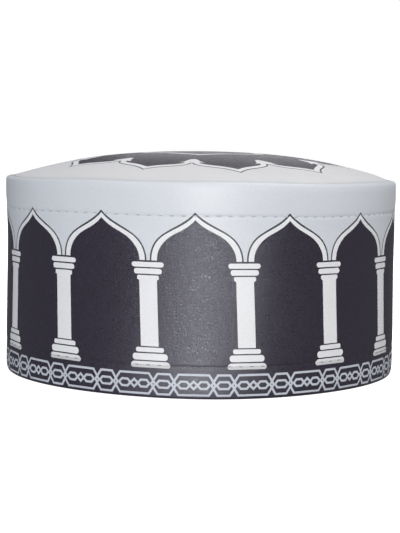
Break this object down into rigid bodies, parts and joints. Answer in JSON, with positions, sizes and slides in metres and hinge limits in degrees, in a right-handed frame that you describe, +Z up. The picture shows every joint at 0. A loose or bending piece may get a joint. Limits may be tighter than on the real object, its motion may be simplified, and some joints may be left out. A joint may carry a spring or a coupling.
{
  "type": "prayer cap",
  "caption": "Soft round prayer cap: a tall padded side band printed with an arcade and a chain border, closed by a low domed crown. Worn on the head.",
  "frame": {"origin": "on the ground under the middle of the oval, in the plane of the hem", "axes": "+Z up, +X along the long way of the head, -Y towards the side seen in the picture"},
  "size_m": [0.1961, 0.1688, 0.1099],
  "materials": {
    "printed_cloth": "padded cloth with a brushed face, printed in charcoal, white and pale grey",
    "pale_cloth": "padded cloth with a brushed face, pale grey with a printed rosette"
  },
  "bodies": {
    "root": {"side_band": "printed_cloth", "crown": "pale_cloth"}
  },
  "joints": []
}
